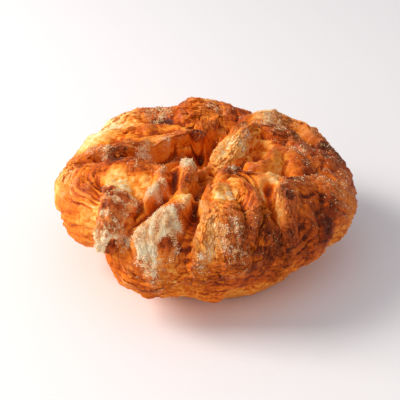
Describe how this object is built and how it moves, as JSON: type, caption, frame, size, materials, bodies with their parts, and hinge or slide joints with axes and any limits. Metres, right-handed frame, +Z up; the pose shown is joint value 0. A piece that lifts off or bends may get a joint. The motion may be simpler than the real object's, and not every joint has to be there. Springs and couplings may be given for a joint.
{
  "type": "kouign-amann",
  "caption": "Round laminated butter pastry with gathered, puffed folds over a wider sugared rim, on a smaller flat foot.",
  "frame": {"origin": "middle of the underside of the foot's box: the centre of the bounding box's bottom face", "axes": "+Z up out of the flat foot; +X to the right and -Y towards the viewer of the picture"},
  "size_m": [0.0946, 0.0908, 0.0386],
  "materials": {
    "crust": "baked laminated dough, caramelised and sugared"
  },
  "bodies": {
    "root": {"pastry": "crust"}
  },
  "joints": []
}
